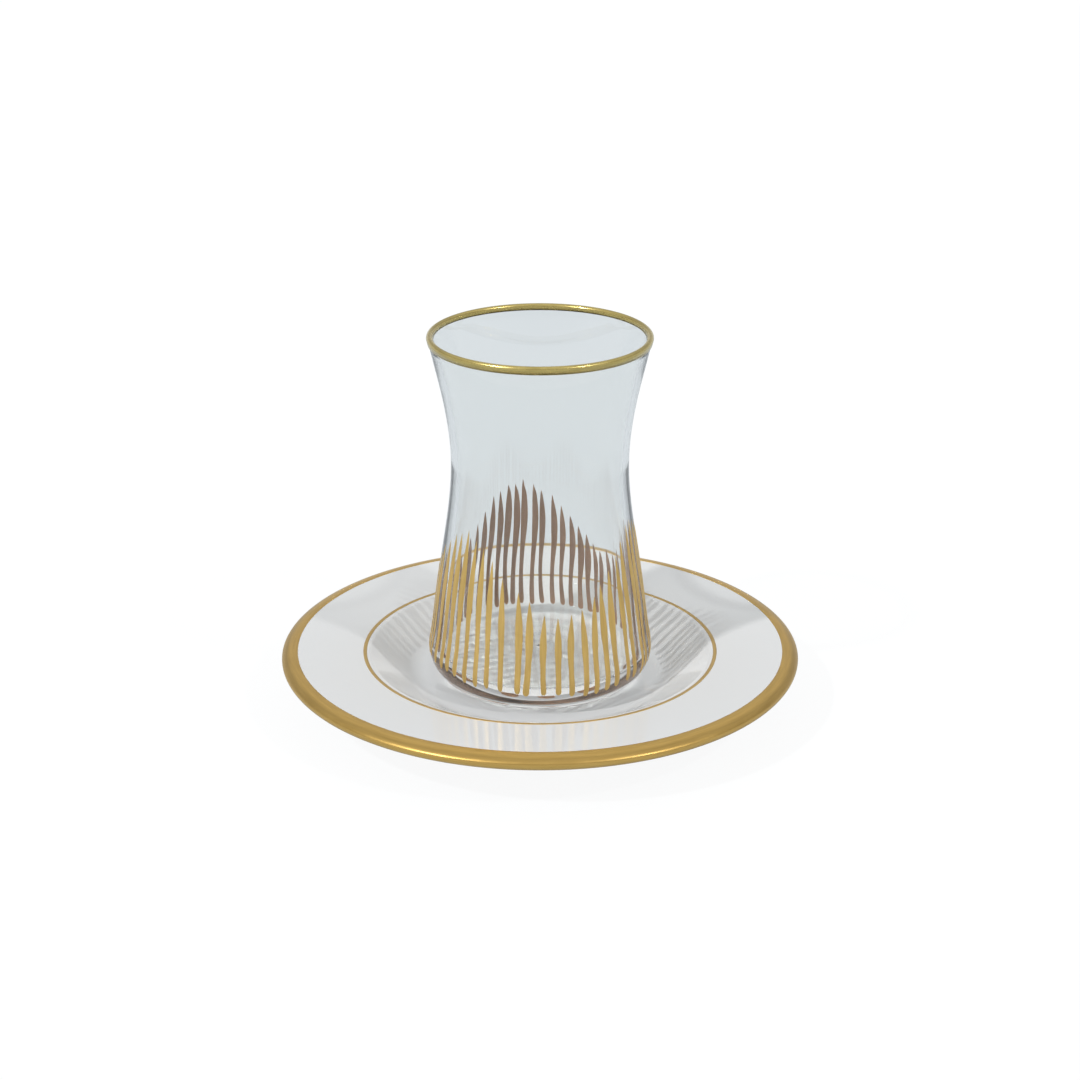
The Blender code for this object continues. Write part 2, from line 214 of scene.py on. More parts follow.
def saucer_outline():
    """Well, shoulder, flange, rim, underside and foot ring: straight lines joined by arcs."""
    floor_middle = (0.0, WELL_FLOOR_HEIGHT)
    floor_edge = (WELL_FLOOR_RADIUS, WELL_FLOOR_HEIGHT)
    well_edge = (WELL_EDGE_RADIUS, WELL_EDGE_HEIGHT)
    crest = (RIM_CREST_RADIUS, SAUCER_HEIGHT)
    top = rounded_path((floor_middle, floor_edge, well_edge, crest), (WELL_BEND, WELL_SHOULDER))
    rim = rim_section(GOLD_FILM, RIM_POINTS)
    below = rounded_path((
        rim[-1],
        (RIM_CREST_RADIUS - FLANGE_THICKNESS, SAUCER_HEIGHT - FLANGE_THICKNESS),
        (WELL_EDGE_RADIUS + FLANGE_THICKNESS / 2.0, WELL_EDGE_HEIGHT - FLANGE_THICKNESS),
        (FOOT_RING_OUTER + FOOT_RING_DRAFT, UNDERSIDE_HEIGHT),
        (FOOT_RING_OUTER, 0.0),
        (FOOT_RING_INNER, 0.0),
        (FOOT_RING_INNER - FOOT_RING_DRAFT, FOOT_HOLLOW_HEIGHT),
        (0.0, FOOT_HOLLOW_HEIGHT),
    ), (RIM_UNDER_ROUND, FLANGE_UNDER_ROUND, FOOT_RING_FILLET, FOOT_RING_ROUND, FOOT_RING_ROUND,
        FOOT_HOLLOW_ROUND), UNDERSIDE_POINTS)
    return finely(np.vstack((top[:-1], rim, below[1:])))


def new_material(name):
    """An empty node material, as (material, function that adds a node, function that links two sockets)."""
    material = bpy.data.materials.new(name)
    material.use_nodes = True
    tree = material.node_tree
    tree.nodes.clear()

    def add(kind, inputs=(), **settings):
        made = tree.nodes.new(kind)
        for key, value in settings.items():
            setattr(made, key, value)
        for socket, value in dict(inputs).items():
            made.inputs[socket].default_value = value
        return made

    return material, add, tree.links.new


def colour(rgb):
    """A colour with full alpha."""
    return (*rgb, 1.0)


def porcelain():
    """Glazed porcelain: two close whites in soft clouds, and a clear glaze with a very shallow ripple."""
    material, add, link = new_material("glazed porcelain")
    place_in = add("ShaderNodeTexCoord")
    clouds = add("ShaderNodeTexNoise", {"Scale": 26.0, "Detail": 3.0, "Roughness": 0.55})
    tint = add("ShaderNodeMix", data_type="RGBA")
    tint.inputs["A"].default_value = colour(PORCELAIN_WHITE)
    tint.inputs["B"].default_value = colour(PORCELAIN_CREAM)
    ripple = add("ShaderNodeTexNoise", {"Scale": 95.0, "Detail": 1.0})
    bump = add("ShaderNodeBump", {"Strength": 0.15, "Distance": 0.00004})
    shader = add("ShaderNodeBsdfPrincipled", {"Roughness": GLAZE_ROUGHNESS, "IOR": 1.60})
    output = add("ShaderNodeOutputMaterial")
    link(place_in.outputs["Object"], clouds.inputs["Vector"])
    link(place_in.outputs["Object"], ripple.inputs["Vector"])
    link(clouds.outputs["Fac"], tint.inputs["Factor"])
    link(tint.outputs["Result"], shader.inputs["Base Color"])
    link(ripple.outputs["Fac"], bump.inputs["Height"])
    link(bump.outputs["Normal"], shader.inputs["Normal"])
    link(shader.outputs["BSDF"], output.inputs["Surface"])
    return material


saucer = turned("saucer_body", saucer_outline(), SAUCER_STEPS)
saucer.data.materials.append(porcelain())
place(saucer, "porcelain", "saucer")


# The gilded rim band and the gilded ring line
# Liquid bright gold and a satin burnishing gold, brushed on over the glaze while the saucer turns on a
# wheel, then fired. The films are a few hundredths of a millimetre thick and show fine wheel marks.

RIM_GOLD_DARK = (0.56, 0.355, 0.092)
RIM_GOLD_LIGHT = (0.66, 0.430, 0.122)
LINE_GOLD_DARK = (0.50, 0.33, 0.11)
LINE_GOLD_LIGHT = (0.58, 0.40, 0.15)
# Painted shade: heights and levels that darken the rim gold in a band round its roll, standing in for the
# reflection of darker surroundings there.
RIM_PAINTED_SHADE = ((0.0136, 1.0), (0.0143, 0.92), (0.0147, 0.72), (0.0155, 0.72), (0.0158, 1.0))
COAT_ROUGHNESS = 0.24
RING_LINE_RADIUS = 0.0483
RING_LINE_WIDTH = 0.0010
RING_LINE_POINTS = 4
NOISE_LOW = 0.3
NOISE_HIGH = 0.7


def band_coordinates(add, link, scale_round, scale_across):
    """Coordinates that follow a turned piece: (k x/r, k y/r, m (r + z)), r the distance from the axis."""
    place_in = add("ShaderNodeTexCoord")
    flat = add("ShaderNodeVectorMath", operation="MULTIPLY")
    flat.inputs[1].default_value = (1.0, 1.0, 0.0)
    unit = add("ShaderNodeVectorMath", operation="NORMALIZE")
    round_axis = add("ShaderNodeVectorMath", {"Scale": scale_round}, operation="SCALE")
    radius = add("ShaderNodeVectorMath", operation="LENGTH")
    split = add("ShaderNodeSeparateXYZ")
    across = add("ShaderNodeMath", operation="ADD")
    stretch = add("ShaderNodeMath", operation="MULTIPLY")
    stretch.inputs[1].default_value = scale_across
    lift = add("ShaderNodeCombineXYZ")
    both = add("ShaderNodeVectorMath", operation="ADD")
    link(place_in.outputs["Object"], flat.inputs[0])
    link(place_in.outputs["Object"], split.inputs["Vector"])
    link(flat.outputs["Vector"], unit.inputs[0])
    link(flat.outputs["Vector"], radius.inputs[0])
    link(unit.outputs["Vector"], round_axis.inputs[0])
    link(radius.outputs["Value"], across.inputs[0])
    link(split.outputs["Z"], across.inputs[1])
    link(across.outputs["Value"], stretch.inputs[0])
    link(stretch.outputs["Value"], lift.inputs["Z"])
    link(round_axis.outputs["Vector"], both.inputs[0])
    link(lift.outputs["Vector"], both.inputs[1])
    return both.outputs["Vector"]


def set_stops(ramp, stops):
    """Gives a colour ramp its stops, which are pairs of position and colour."""
    while len(ramp.elements) < len(stops):
        ramp.elements.new(1.0)
    for element, (position, rgb) in zip(ramp.elements, stops):
        element.position = position
        element.color = colour(rgb)


def gilding(name, dark, light, roughness, scale_round, scale_across, bump_depth=0.00001, metal=0.6,
            coat=0.0, painted_shade=None):
    """Fired gold: two golds in brush streaks, and fine grain that scatters its shine.

    Where a list of heights and levels is given, the gold's colour is scaled by the level at its height:
    painted shade, a darker band that stands in for reflected darker surroundings.
    """
    material, add, link = new_material(name)
    streaks = add("ShaderNodeTexNoise", {"Scale": 1.0, "Detail": 4.0, "Roughness": 0.6})
    link(band_coordinates(add, link, scale_round, scale_across), streaks.inputs["Vector"])
    tint = add("ShaderNodeMix", data_type="RGBA")
    tint.inputs["A"].default_value = colour(dark)
    tint.inputs["B"].default_value = colour(light)
    spread = add("ShaderNodeMapRange", {"From Min": NOISE_LOW, "From Max": NOISE_HIGH})
    shine = add("ShaderNodeMapRange", {"From Min": NOISE_LOW, "From Max": NOISE_HIGH,
                                       "To Min": roughness[0], "To Max": roughness[1]})
    place_in = add("ShaderNodeTexCoord")
    grain = add("ShaderNodeTexNoise", {"Scale": 2600.0, "Detail": 2.0})
    bump = add("ShaderNodeBump", {"Strength": 0.35, "Distance": bump_depth})
    shader = add("ShaderNodeBsdfPrincipled", {"Metallic": metal, "Coat Weight": coat,
                                              "Coat Roughness": COAT_ROUGHNESS})
    output = add("ShaderNodeOutputMaterial")
    link(streaks.outputs["Fac"], spread.inputs["Value"])
    link(streaks.outputs["Fac"], shine.inputs["Value"])
    link(spread.outputs["Result"], tint.inputs["Factor"])
    link(tint.outputs["Result"], shader.inputs["Base Color"])
    link(shine.outputs["Result"], shader.inputs["Roughness"])
    link(place_in.outputs["Object"], grain.inputs["Vector"])
    # Painted shade: the gold's colour is darkened by height, where reflected darker surroundings would
    # darken it.
    if painted_shade:
        low, high = painted_shade[0][0], painted_shade[-1][0]
        split = add("ShaderNodeSeparateXYZ")
        rise = add("ShaderNodeMapRange", {"From Min": low, "From Max": high})
        shade_ramp = add("ShaderNodeValToRGB")
        stops = [((height - low) / (high - low), (level,) * 3) for height, level in painted_shade]
        set_stops(shade_ramp.color_ramp, stops)
        shaded_gold = add("ShaderNodeVectorMath", operation="SCALE")
        link(place_in.outputs["Object"], split.inputs["Vector"])
        link(split.outputs["Z"], rise.inputs["Value"])
        link(rise.outputs["Result"], shade_ramp.inputs["Fac"])
        link(tint.outputs["Result"], shaded_gold.inputs[0])
        link(shade_ramp.outputs["Color"], shaded_gold.inputs["Scale"])
        link(shaded_gold.outputs["Vector"], shader.inputs["Base Color"])
    link(grain.outputs["Fac"], bump.inputs["Height"])
    link(bump.outputs["Normal"], shader.inputs["Normal"])
    link(shader.outputs["BSDF"], output.inputs["Surface"])
    return material


def closed_band(outer, inner):
    """The section of a thin band: its outer line, then back along its inner one to the start."""
    return np.vstack((outer, inner[::-1], outer[:1]))


def ring_line_section(depth, count):
    """Points across the ring line, a straight stretch of the flange just outside the well's shoulder."""
    slope = (SAUCER_HEIGHT - WELL_EDGE_HEIGHT) / (RIM_CREST_RADIUS - WELL_EDGE_RADIUS)
    height = WELL_EDGE_HEIGHT + slope * (RING_LINE_RADIUS - WELL_EDGE_RADIUS)
    across = np.array((1.0, slope)) / math.hypot(1.0, slope)
    middle = np.array((RING_LINE_RADIUS, height)) - depth * np.array((-across[1], across[0]))
    return middle + np.linspace(-0.5, 0.5, count)[:, None] * RING_LINE_WIDTH * across


rim_gold = gilding("rim gold", RIM_GOLD_DARK, RIM_GOLD_LIGHT, (0.34, 0.42), 7.0, 2200.0, metal=0.82,
                   coat=0.12, painted_shade=RIM_PAINTED_SHADE)
line_gold = gilding("line gold", LINE_GOLD_DARK, LINE_GOLD_LIGHT, (0.34, 0.42), 7.0, 2200.0)
rim_outline = closed_band(rim_section(0.0, RIM_POINTS), rim_section(2.0 * GOLD_FILM, RIM_POINTS))
rim_band = turned("saucer_rim_band", rim_outline, SAUCER_STEPS)
rim_band.data.materials.append(rim_gold)
place(rim_band, "gilding", "saucer_rim_gilding")

ring_outline = closed_band(ring_line_section(-GOLD_FILM, RING_LINE_POINTS),
                           ring_line_section(GOLD_FILM, RING_LINE_POINTS))
ring_line = turned("saucer_ring_band", ring_outline, SAUCER_STEPS)
ring_line.data.materials.append(line_gold)
place(ring_line, "gilding", "saucer_ring_line")


# The glass
# Clear soda-lime glass, blown in a mould and fire-polished: a thick floor with a rounded corner, a
# belly, a waist and a flared lip. The wall thins from the floor to the waist and stays even above it.

GLASS_BASE = WELL_FLOOR_HEIGHT + 0.0003
GLASS_HEIGHT = 0.0971
GLASS_FOOT_RADIUS = 0.0233
BELLY_HEIGHT = 0.0085
BELLY_RADIUS = 0.03055
WAIST_HEIGHT = 0.0617
WAIST_RADIUS = 0.02387
LIP_HEIGHT = 0.0967
LIP_RADIUS = 0.0299
WALL_STATIONS = (
    (BELLY_HEIGHT, BELLY_RADIUS),
    (0.0123, 0.03007),
    (0.0243, 0.02844),
    (0.0383, 0.02634),
    (0.0503, 0.02460),
    (WAIST_HEIGHT, WAIST_RADIUS),
    (0.0781, 0.02555),
    (LIP_HEIGHT, LIP_RADIUS),
)
LIP_WALL = 0.0017
FLOOR_WALL = 0.0037
INNER_FLOOR_HEIGHT = 0.0070
INNER_FLOOR_FILLET = 0.0013
LIP_BAND_OUTSIDE = 0.0011
LIP_BAND_INSIDE = 0.0008
LIP_EASE = 0.00010
LIP_EASE_START = 0.0860
LIP_SLOPE_SPAN = 0.0020
LIP_POINTS = 24
FOOT_PUNT = 0.0006
FOOT_DEPTH = 0.0012
FLOOR_RIPPLE = 0.00003
FLOOR_RIPPLE_LENGTH = 0.0048
FLOOR_DIMPLE_RADIUS = 0.0011
FLOOR_DIMPLE_DEPTH = 0.00025
FILLET_POINTS = 24
FILLET_CLEARANCE = 0.0004
INNER_WALL_ROWS = 120
OUTER_WALL_ROWS = 130
CORNER_ROWS = 40
INNER_FLOOR_ROWS = 120
GLASS_STEPS = 256
GLASS_TINT = (0.975, 0.980, 0.968)
GLASS_SHADOW = (0.895, 0.90, 0.90)
GLASS_SHADOW_EDGE = (0.62, 0.63, 0.63)


def smooth_curve(stations, at):
    """Cubic spline through the stations, level at the first one and free at the last."""
    x, y = np.array(stations).T
    step = np.diff(x)
    rise = np.diff(y) / step
    matrix = np.zeros((len(x), len(x)))
    target = np.zeros(len(x))
    matrix[0, 0], matrix[0, 1] = 2.0 * step[0], step[0]
    target[0] = 6.0 * rise[0]
    matrix[-1, -1] = 1.0
    for i in range(1, len(x) - 1):
        matrix[i, i - 1:i + 2] = step[i - 1], 2.0 * (step[i - 1] + step[i]), step[i]
        target[i] = 6.0 * (rise[i] - rise[i - 1])
    bend = np.linalg.solve(matrix, target)
    i = np.clip(np.searchsorted(x, at) - 1, 0, len(step) - 1)
    before, after = at - x[i], x[i + 1] - at
    cubic = (bend[i] * after ** 3 + bend[i + 1] * before ** 3) / (6.0 * step[i])
    left = (y[i] / step[i] - bend[i] * step[i] / 6.0) * after
    right = (y[i + 1] / step[i] - bend[i + 1] * step[i] / 6.0) * before
    return cubic + left + right


def outer_radius(height):
    """Radius of the outer face: a quarter-ellipse corner up to the belly, then the waisted spline."""
    height = np.asarray(height, dtype=float)
    drop = np.clip((BELLY_HEIGHT - height) / BELLY_HEIGHT, 0.0, 1.0)
    corner = GLASS_FOOT_RADIUS + (BELLY_RADIUS - GLASS_FOOT_RADIUS) * np.sqrt(1.0 - drop ** 2)
    wall = smooth_curve(WALL_STATIONS, np.maximum(height, BELLY_HEIGHT))
    return np.where(height < BELLY_HEIGHT, corner, wall)


def wall_thickness(height):
    """Even from the lip to the waist, then growing linearly down to the floor."""
    share = np.clip((WAIST_HEIGHT - height) / (WAIST_HEIGHT - INNER_FLOOR_HEIGHT), 0.0, 1.0)
    return LIP_WALL + (FLOOR_WALL - LIP_WALL) * share


def lip_ease(height):
    """How far the bare wall keeps inside the lip's bead: a smooth step up towards the lip."""
    share = np.clip((height - LIP_EASE_START) / (LIP_HEIGHT - LIP_EASE_START), 0.0, 1.0)
    return LIP_EASE * share ** 2 * (3.0 - 2.0 * share)


def lip_section(depth, inside, outside, count):
    """A half circle over the wall's top, with straight ends down both faces, at a depth inside them."""
    slope = float(outer_radius(LIP_HEIGHT) - outer_radius(LIP_HEIGHT - LIP_SLOPE_SPAN)) / LIP_SLOPE_SPAN
    along = np.array((slope, 1.0)) / math.hypot(slope, 1.0)
    across = np.array((along[1], -along[0]))
    half = LIP_WALL / 2.0
    centre = np.array((LIP_RADIUS - half, GLASS_BASE + GLASS_HEIGHT - half))
    half -= depth
    turn = np.radians(np.linspace(180.0, 0.0, count))
    local = np.column_stack((half * np.cos(turn), half * np.sin(turn)))
    local = np.vstack(((-half, -inside), local, (half, -outside)))
    return centre + local[:, :1] * across + local[:, 1:] * along


def glass_outline():
    """Inner floor, inner wall, lip, outer wall, rounded corner and the foot with its shallow punt."""
    floor = GLASS_BASE + INNER_FLOOR_HEIGHT
    top = LIP_HEIGHT - LIP_WALL
    inner_heights = np.linspace(INNER_FLOOR_HEIGHT, top - LIP_BAND_INSIDE, INNER_WALL_ROWS)
    inner = np.column_stack((outer_radius(inner_heights) - wall_thickness(inner_heights),
                             GLASS_BASE + inner_heights))
    up_the_wall = inner[6]
    fillet = rounded(inner[0], (0.0, floor), up_the_wall, INNER_FLOOR_FILLET, FILLET_POINTS)
    inner = inner[inner[:, 1] > fillet[-1, 1] + FILLET_CLEARANCE]
    lip = lip_section(LIP_EASE, LIP_BAND_INSIDE, LIP_BAND_OUTSIDE, LIP_POINTS)[1:-1]
    outer_heights = np.linspace(top - LIP_BAND_OUTSIDE, BELLY_HEIGHT, OUTER_WALL_ROWS)
    outer = np.column_stack((outer_radius(outer_heights) - lip_ease(outer_heights),
                             GLASS_BASE + outer_heights))
    corner_radii = (BELLY_RADIUS - GLASS_FOOT_RADIUS, BELLY_HEIGHT)
    corner = arc((GLASS_FOOT_RADIUS, GLASS_BASE + BELLY_HEIGHT), corner_radii, 0.0, -90.0, CORNER_ROWS)[1:]
    share = np.linspace(1.0, 0.0, CORNER_ROWS)[1:]
    punt = np.column_stack((GLASS_FOOT_RADIUS * share, GLASS_BASE + FOOT_PUNT * (1.0 - share ** 2) ** 2))
    middle = np.linspace(0.0, fillet[0, 0], INNER_FLOOR_ROWS)[:-1]
    ripple = FLOOR_RIPPLE * np.cos(math.tau * middle / FLOOR_RIPPLE_LENGTH) * (1.0 - middle / fillet[0, 0])
    dimple = FLOOR_DIMPLE_DEPTH * np.clip(1.0 - (middle / FLOOR_DIMPLE_RADIUS) ** 2, 0.0, 1.0) ** 2
    inner_floor = np.column_stack((middle, floor + ripple - dimple))
    return np.vstack((inner_floor, fillet, inner, lip, outer, corner, punt))


def clear_glass():
    """Glass of index 1.5, faintly cool and a little uneven.

    It shades what lies behind it as a plain tinted pane, darker near its edges: rays that gather light on
    a matt surface go straight through, but through the foot they bend as in real glass.
    """
    material, add, link = new_material("clear glass")
    shader = add("ShaderNodeBsdfPrincipled", {"Base Color": colour(GLASS_TINT), "Roughness": 0.0,
                                              "IOR": 1.5, "Transmission Weight": 1.0})
    place_in = add("ShaderNodeTexCoord")
    unevenness = add("ShaderNodeTexNoise", {"Scale": 17.0, "Detail": 1.0, "Roughness": 0.4})
    bump = add("ShaderNodeBump", {"Strength": 0.6, "Distance": 0.0006})
    path = add("ShaderNodeLightPath")
    split = add("ShaderNodeSeparateXYZ")
    wall = add("ShaderNodeMath", operation="GREATER_THAN")
    wall.inputs[1].default_value = GLASS_BASE + FOOT_DEPTH
    edge = add("ShaderNodeLayerWeight", {"Blend": 0.35})
    shade = add("ShaderNodeMix", data_type="RGBA")
    shade.inputs["A"].default_value = colour(GLASS_SHADOW)
    shade.inputs["B"].default_value = colour(GLASS_SHADOW_EDGE)
    passing = add("ShaderNodeBsdfTransparent")
    through_wall = add("ShaderNodeMixShader")
    gathering = add("ShaderNodeMixShader")
    shading = add("ShaderNodeMixShader")
    output = add("ShaderNodeOutputMaterial")
    link(place_in.outputs["Object"], unevenness.inputs["Vector"])
    link(unevenness.outputs["Fac"], bump.inputs["Height"])
    link(bump.outputs["Normal"], shader.inputs["Normal"])
    link(edge.outputs["Facing"], shade.inputs["Factor"])
    link(shade.outputs["Result"], passing.inputs["Color"])
    link(place_in.outputs["Object"], split.inputs["Vector"])
    link(split.outputs["Z"], wall.inputs[0])
    link(wall.outputs["Value"], through_wall.inputs["Fac"])
    link(shader.outputs["BSDF"], through_wall.inputs[1])
    link(passing.outputs["BSDF"], through_wall.inputs[2])
    link(path.outputs["Is Diffuse Ray"], gathering.inputs["Fac"])
    link(shader.outputs["BSDF"], gathering.inputs[1])
    link(through_wall.outputs["Shader"], gathering.inputs[2])
    link(path.outputs["Is Shadow Ray"], shading.inputs["Fac"])
    link(gathering.outputs["Shader"], shading.inputs[1])
    link(passing.outputs["BSDF"], shading.inputs[2])
    link(shading.outputs["Shader"], output.inputs["Surface"])
    return material


glass = turned("glass_body", glass_outline(), GLASS_STEPS)
glass.data.materials.append(clear_glass())
place(glass, "clear_glass", "glass")


# The painted strokes
# Slim upright strokes of matt gold paste, brushed on the outside of the lower half by hand and fired
# on. Their tips follow a wave with three crests. Seen through the glass their backs are umber brown.

STROKE_COUNT = 55
STROKE_CREST_ANGLES = (-166.0, -51.0, 74.0, 194.0)
STROKE_TOP_MEAN = 0.0378
STROKE_TOP_SWING = 0.0098
STROKE_BOTTOM_MEAN = 0.0060
STROKE_BOTTOM_SWING = 0.0012
STROKE_PHASE = 1.35
STROKE_CROWDING = 0.094
STROKE_ANGLE_SEED = 26510
STROKE_SHAPE_SEED = 8
STROKE_HALF_WIDTHS = (0.00088, 0.00117)
STROKE_TIP_JITTER = 0.0009
STROKE_FOOT_JITTER = 0.0006
STROKE_SPACING_JITTER = 1.2
STROKE_LEAN = 1.6
STROKE_BOW = 0.8
STROKE_SWAY = 0.9
ROUND_FOOT_SHARE = 0.05
WAIST_SHARE = 0.33
WAIST_WIDTH = 0.72
WAIST_SWING = 0.08
FOOT_WIDTH = 0.80
BELLY_SHARE = 0.65
BELLY_SWING = 0.07
TIP_POWER = 0.8
STROKE_RIPPLE = 0.045
LEFT_EDGE_WAVES = (9.0, 23.0)
RIGHT_EDGE_WAVES = (8.0, 25.0)
PAINT_PROUD = 0.00012
PAINT_ROOT = 0.00004
PAINT_FULL_FROM = 0.3
STROKE_ROWS = 40
PAINT_COLUMNS = 9

STROKE_GOLD_DARK = (0.52, 0.345, 0.105)
STROKE_GOLD_LIGHT = (0.66, 0.45, 0.145)
UMBER_DARK = (0.34, 0.175, 0.088)
UMBER_LIGHT = (0.47, 0.27, 0.150)


def stroke_angles():
    """Angles of the strokes: even steps, crowded towards the back by a sine, with a little hand jitter."""
    draw = random.Random(STROKE_ANGLE_SEED)
    angles = []
    for i in range(STROKE_COUNT):
        even = math.tau * i / STROKE_COUNT
        hand = math.radians(draw.uniform(-STROKE_SPACING_JITTER, STROKE_SPACING_JITTER))
        angles.append(even + math.radians(STROKE_PHASE) + STROKE_CROWDING * math.sin(even) + hand)
    return angles


def stroke_top(angle):
    """Height of a stroke's tip: mean + swing * cos(phase), the phase running from crest to crest."""
    first = STROKE_CREST_ANGLES[0]
    degrees = (math.degrees(angle) - first) % 360.0 + first
    for low, high in zip(STROKE_CREST_ANGLES, STROKE_CREST_ANGLES[1:]):
        if low <= degrees <= high:
            phase = math.tau * (degrees - low) / (high - low)
    return STROKE_TOP_MEAN + STROKE_TOP_SWING * math.cos(phase)


def stroke_half_width(share, widest, angle):
    """Half width at a share of the length: an elliptic foot, smooth steps to the belly, a sine's tip.

    The waist's width and the belly's share change with the cosine of the stroke's angle.
    """
    waist = WAIST_WIDTH + WAIST_SWING * np.cos(angle)
    belly = BELLY_SHARE - BELLY_SWING * np.cos(angle)
    foot = np.sqrt(1.0 - np.clip(1.0 - share / ROUND_FOOT_SHARE, 0.0, 1.0) ** 2)
    rise = np.clip((share - WAIST_SHARE) / (belly - WAIST_SHARE), 0.0, 1.0)
    fall = np.clip(1.0 - share / WAIST_SHARE, 0.0, 1.0)
    body = waist + (1.0 - waist) * rise ** 2 * (3.0 - 2.0 * rise)
    body = body + (FOOT_WIDTH - waist) * fall ** 2 * (3.0 - 2.0 * fall)
    tip = np.sin(np.clip((1.0 - share) / (1.0 - belly), 0.0, 1.0) * math.pi / 2.0) ** TIP_POWER
    return widest * foot * body * tip


def edge_ripple(share, waves, phases):
    """How far an edge swings in and out: 1 + ripple * (sin(first wave) + sin(second wave) / 2)."""
    return 1.0 + STROKE_RIPPLE * (np.sin(waves[0] * share + phases[0])
                                  + 0.5 * np.sin(waves[1] * share + phases[1]))


def stroke_surfaces():
    """All strokes as one array (stroke, row, column, xyz): rows up the wall, columns round the section.

    A section is half an ellipse of paint over the wall and a flat root just inside it. A point at angle
    a and radius r is (r sin a, -r cos a, z); a and the half width change along the length by formulas.
    """
    draw = random.Random(STROKE_SHAPE_SEED)
    marks = []
    for angle in stroke_angles():
        top = stroke_top(angle) + draw.uniform(-STROKE_TIP_JITTER, STROKE_TIP_JITTER)
        bottom = STROKE_BOTTOM_MEAN - STROKE_BOTTOM_SWING * math.sin(angle)
        bottom += draw.uniform(-STROKE_FOOT_JITTER, STROKE_FOOT_JITTER)
        widest = draw.uniform(*STROKE_HALF_WIDTHS)
        lean = math.radians(draw.uniform(-STROKE_LEAN, STROKE_LEAN))
        bow = math.radians(draw.uniform(-STROKE_BOW, STROKE_BOW))
        marks.append((angle, top, bottom, widest, lean, bow))
    angle, top, bottom, widest, lean, bow = (column[:, None] for column in np.array(marks).T)
    share = (1.0 - np.cos(np.linspace(0.0, math.pi, STROKE_ROWS))) / 2.0
    height = bottom + (top - bottom) * share
    radius = outer_radius(height)
    waves = np.random.default_rng(STROKE_SHAPE_SEED).uniform(0.0, math.tau, (4, STROKE_COUNT, 1))
    left = edge_ripple(share, LEFT_EDGE_WAVES, waves[:2])
    right = edge_ripple(share, RIGHT_EDGE_WAVES, waves[2:])
    half = stroke_half_width(share, widest, angle) / radius
    sway = math.radians(STROKE_SWAY) * np.sin(math.tau * share) * (1.0 - np.cos(angle)) / 2.0
    middle = angle + lean * (share - 0.5) + bow * np.sin(math.pi * share) + sway
    across = -np.cos(np.linspace(0.0, math.pi, PAINT_COLUMNS))
    side = np.concatenate((across, across[::-1]))
    proud = np.concatenate((PAINT_PROUD * np.sqrt(1.0 - across ** 2), np.full(PAINT_COLUMNS, -PAINT_ROOT)))
    reach = half[..., None] * np.where(side < 0.0, left[..., None], right[..., None]) * side
    turn = middle[..., None] + reach
    body = np.minimum(1.0, stroke_half_width(share, 1.0, 0.0) / PAINT_FULL_FROM)[None, :, None]
    spoke = radius[..., None] + np.where(proud > 0.0, proud * body, proud)
    lift = np.broadcast_to(GLASS_BASE + height[..., None], turn.shape)
    return np.stack((spoke * np.sin(turn), -spoke * np.cos(turn), lift), axis=-1)


def painted_strokes():
    """Joins the strokes in one mesh: quads between neighbouring rows, closed round the section."""
    points = stroke_surfaces()
    strokes, rows, columns = points.shape[:3]
    number = np.arange(strokes * rows * columns).reshape(strokes, rows, columns)
    low, high = number[:, :-1], number[:, 1:]
    quads = np.stack((low, np.roll(low, -1, axis=2), np.roll(high, -1, axis=2), high), axis=-1)
    ends = np.concatenate((number[:, 0, ::-1], number[:, -1]))
    faces = quads.reshape(-1, 4).tolist() + ends.tolist()
    piece = smooth_piece("painted_strokes", points.reshape(-1, 3), faces)
    column = np.broadcast_to(np.arange(columns), quads.shape[:3]).ravel()
    backs = np.append(column >= PAINT_COLUMNS - 1, np.ones(len(ends), dtype=bool))
    piece.data.polygons.foreach_set("material_index", backs.astype(np.int32))
    return piece


def umber_backs():
    """The paste where it bonded to the glass: matt red-brown umber, a little cloudy along each stroke."""
    material, add, link = new_material("umber backs")
    clouds = add("ShaderNodeTexNoise", {"Scale": 1.0, "Detail": 3.0})
    link(band_coordinates(add, link, 22.0, 110.0), clouds.inputs["Vector"])
    tint = add("ShaderNodeMix", data_type="RGBA")
    tint.inputs["A"].default_value = colour(UMBER_DARK)
    tint.inputs["B"].default_value = colour(UMBER_LIGHT)
    shader = add("ShaderNodeBsdfPrincipled", {"Roughness": 0.6, "IOR": 1.5})
    output = add("ShaderNodeOutputMaterial")
    link(clouds.outputs["Fac"], tint.inputs["Factor"])
    link(tint.outputs["Result"], shader.inputs["Base Color"])
    link(shader.outputs["BSDF"], output.inputs["Surface"])
    return material


stroke_gold = gilding("stroke gold", STROKE_GOLD_DARK, STROKE_GOLD_LIGHT, (0.40, 0.52), 26.0, 90.0,
                      bump_depth=0.00003)
strokes = painted_strokes()
strokes.data.materials.append(stroke_gold)
strokes.data.materials.append(umber_backs())
place(strokes, "gilding", "glass")


# The gilded lip
# Bright gold, brushed over the lip's bead as the glass turns, then fired. It is a film that shines more
# than the strokes and covers the inside of the lip less far down than the outside.

LIP_GOLD_DARK = (0.41, 0.32, 0.098)
LIP_GOLD_LIGHT = (0.53, 0.42, 0.138)

lip_gold = gilding("lip gold", LIP_GOLD_DARK, LIP_GOLD_LIGHT, (0.22, 0.30), 5.0, 1500.0, bump_depth=0.000004,
                   metal=0.75, coat=0.3)
lip_faces = [lip_section(depth, LIP_BAND_INSIDE, LIP_BAND_OUTSIDE, LIP_POINTS)
             for depth in (0.0, 2.0 * LIP_EASE)]
lip_band = turned("lip_band", closed_band(*lip_faces), GLASS_STEPS)
lip_band.data.materials.append(lip_gold)
place(lip_band, "gilding", "lip_gilding")


# The studio
# A wide pale floor, two soft lamps in front to the left and right, a broad pale sky all round, and the
# camera in front, looking down on the saucer.

